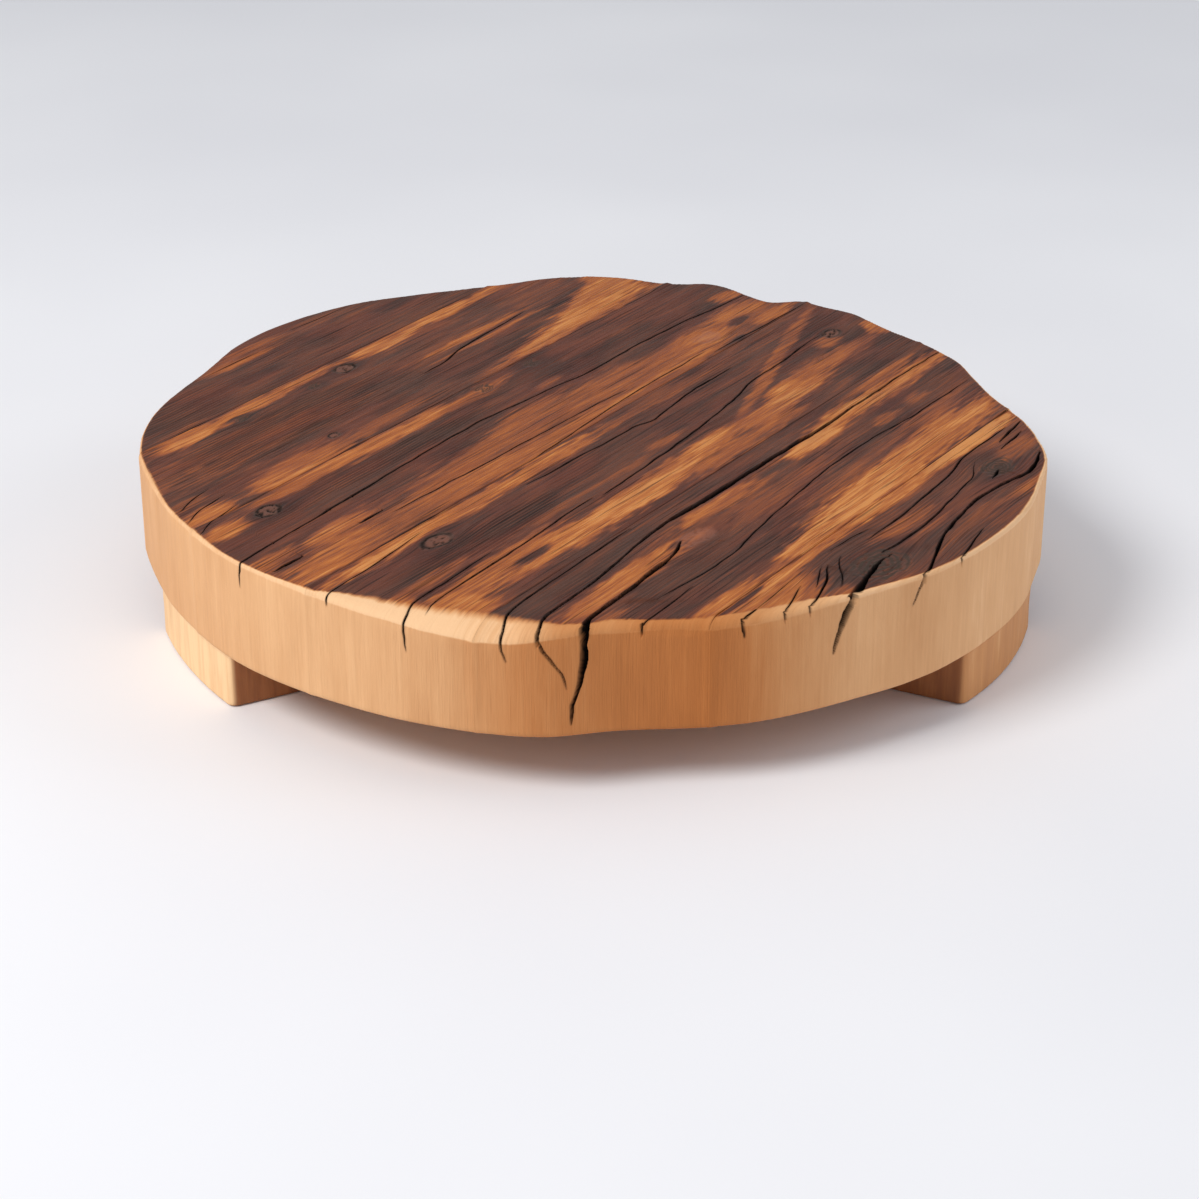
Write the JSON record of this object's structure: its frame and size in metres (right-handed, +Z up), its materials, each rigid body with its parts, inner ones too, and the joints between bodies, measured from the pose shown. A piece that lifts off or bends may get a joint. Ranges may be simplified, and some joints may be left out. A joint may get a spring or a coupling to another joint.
{
  "type": "cake stand",
  "caption": "Low round wooden cake stand: a thick slab of glued reclaimed planks with a rough wavy rim, raised on block feet.",
  "frame": {"origin": "on the table, under the middle of the slab's box", "axes": "+X along the planks' grain, +Z up out of the serving face"},
  "size_m": [0.3559, 0.3648, 0.067],
  "materials": {
    "slab_wood": "oiled old softwood, dark weathered face, sawn lighter edge",
    "foot_wood": "oiled sawn softwood",
    "dowel_wood": "turned beech, unfinished",
    "screw_steel": "yellow zinc plated steel"
  },
  "bodies": {
    "root": {"plank_1": "slab_wood", "plank_2": "slab_wood", "plank_3": "slab_wood", "plank_4": "slab_wood", "plank_5": "slab_wood", "plank_6": "slab_wood", "seam_dowels_1": "dowel_wood", "seam_dowels_2": "dowel_wood", "seam_dowels_3": "dowel_wood", "seam_dowels_4": "dowel_wood", "seam_dowels_5": "dowel_wood", "foot_left": "foot_wood", "foot_right": "foot_wood", "foot_back": "foot_wood", "foot_screws_left": "screw_steel", "foot_screws_right": "screw_steel", "foot_screws_back": "screw_steel"}
  },
  "joints": []
}
